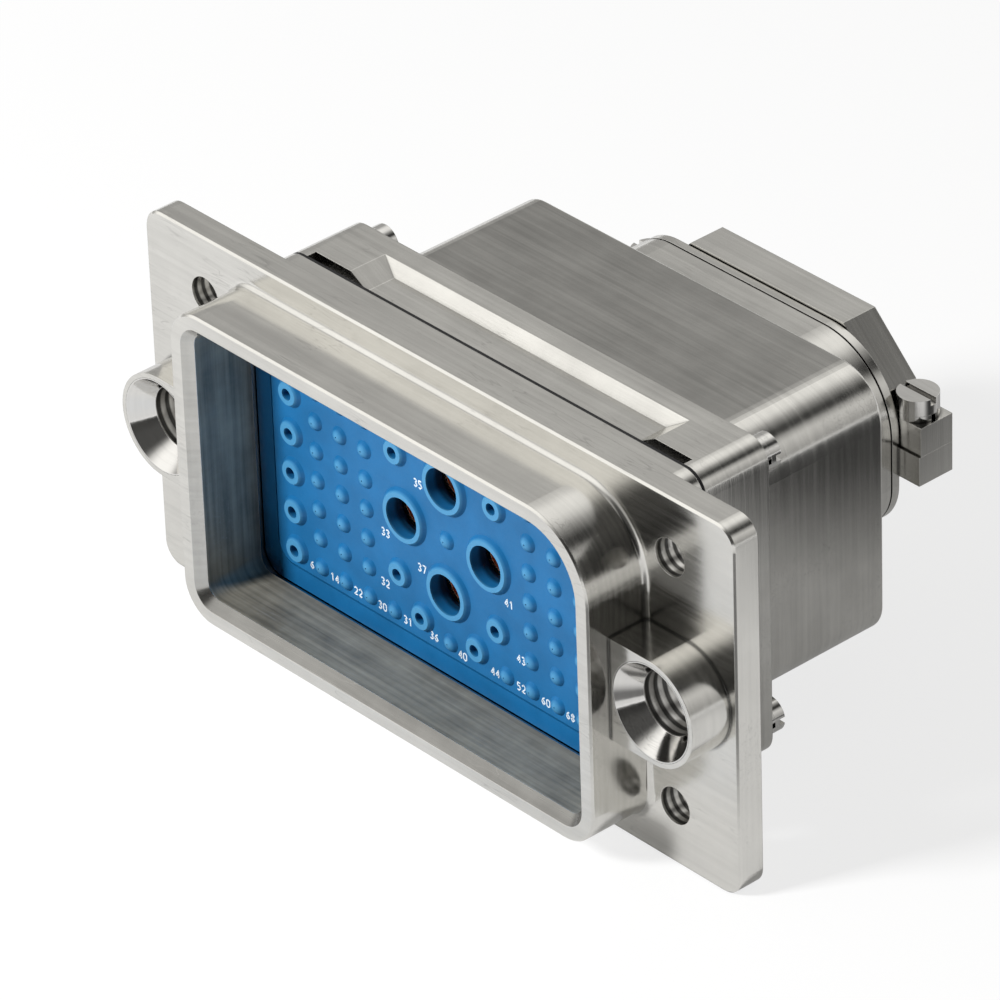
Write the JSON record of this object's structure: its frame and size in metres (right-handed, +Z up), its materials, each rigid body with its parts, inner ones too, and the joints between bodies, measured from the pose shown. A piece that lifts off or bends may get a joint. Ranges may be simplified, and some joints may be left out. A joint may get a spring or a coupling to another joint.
{
  "type": "rectangular panel connector with backshell",
  "caption": "Rectangular flanged panel connector with a keyed hood, guide sockets, a sealed insert of signal and power contacts, and a box backshell with a cable clamp.",
  "frame": {"origin": "centre of the flange's rear face, where the connector seats on its panel", "axes": "+X along the flange, +Y rearwards through the panel, +Z up"},
  "size_m": [0.072, 0.048, 0.0354],
  "materials": {
    "shell_metal": "satin nickel plate",
    "steel": "polished",
    "seal_rubber": "smooth silicone",
    "insulator_plastic": "moulded",
    "contact_brass": "gold plate",
    "contact_copper": "bare copper alloy",
    "gasket_rubber": "matt"
  },
  "bodies": {
    "root": {"front_shell": "shell_metal", "guide_bushings": "steel", "interface_seal": "seal_rubber", "front_insulator": "insulator_plastic", "retention_plate": "insulator_plastic", "rear_insulator": "insulator_plastic", "rear_grommet": "seal_rubber", "insert_retainer": "shell_metal", "signal_contacts": "contact_brass", "medium_contacts": "contact_brass", "power_contacts": "contact_copper", "joint_gasket": "gasket_rubber", "backshell": "shell_metal", "backshell_screws": "steel", "backshell_lock_washers": "steel", "backshell_washers": "steel", "clamp_base": "shell_metal", "clamp_saddle": "shell_metal", "clamp_screws": "steel", "clamp_lock_washers": "steel", "clamp_fixing_screws": "steel"}
  },
  "joints": []
}
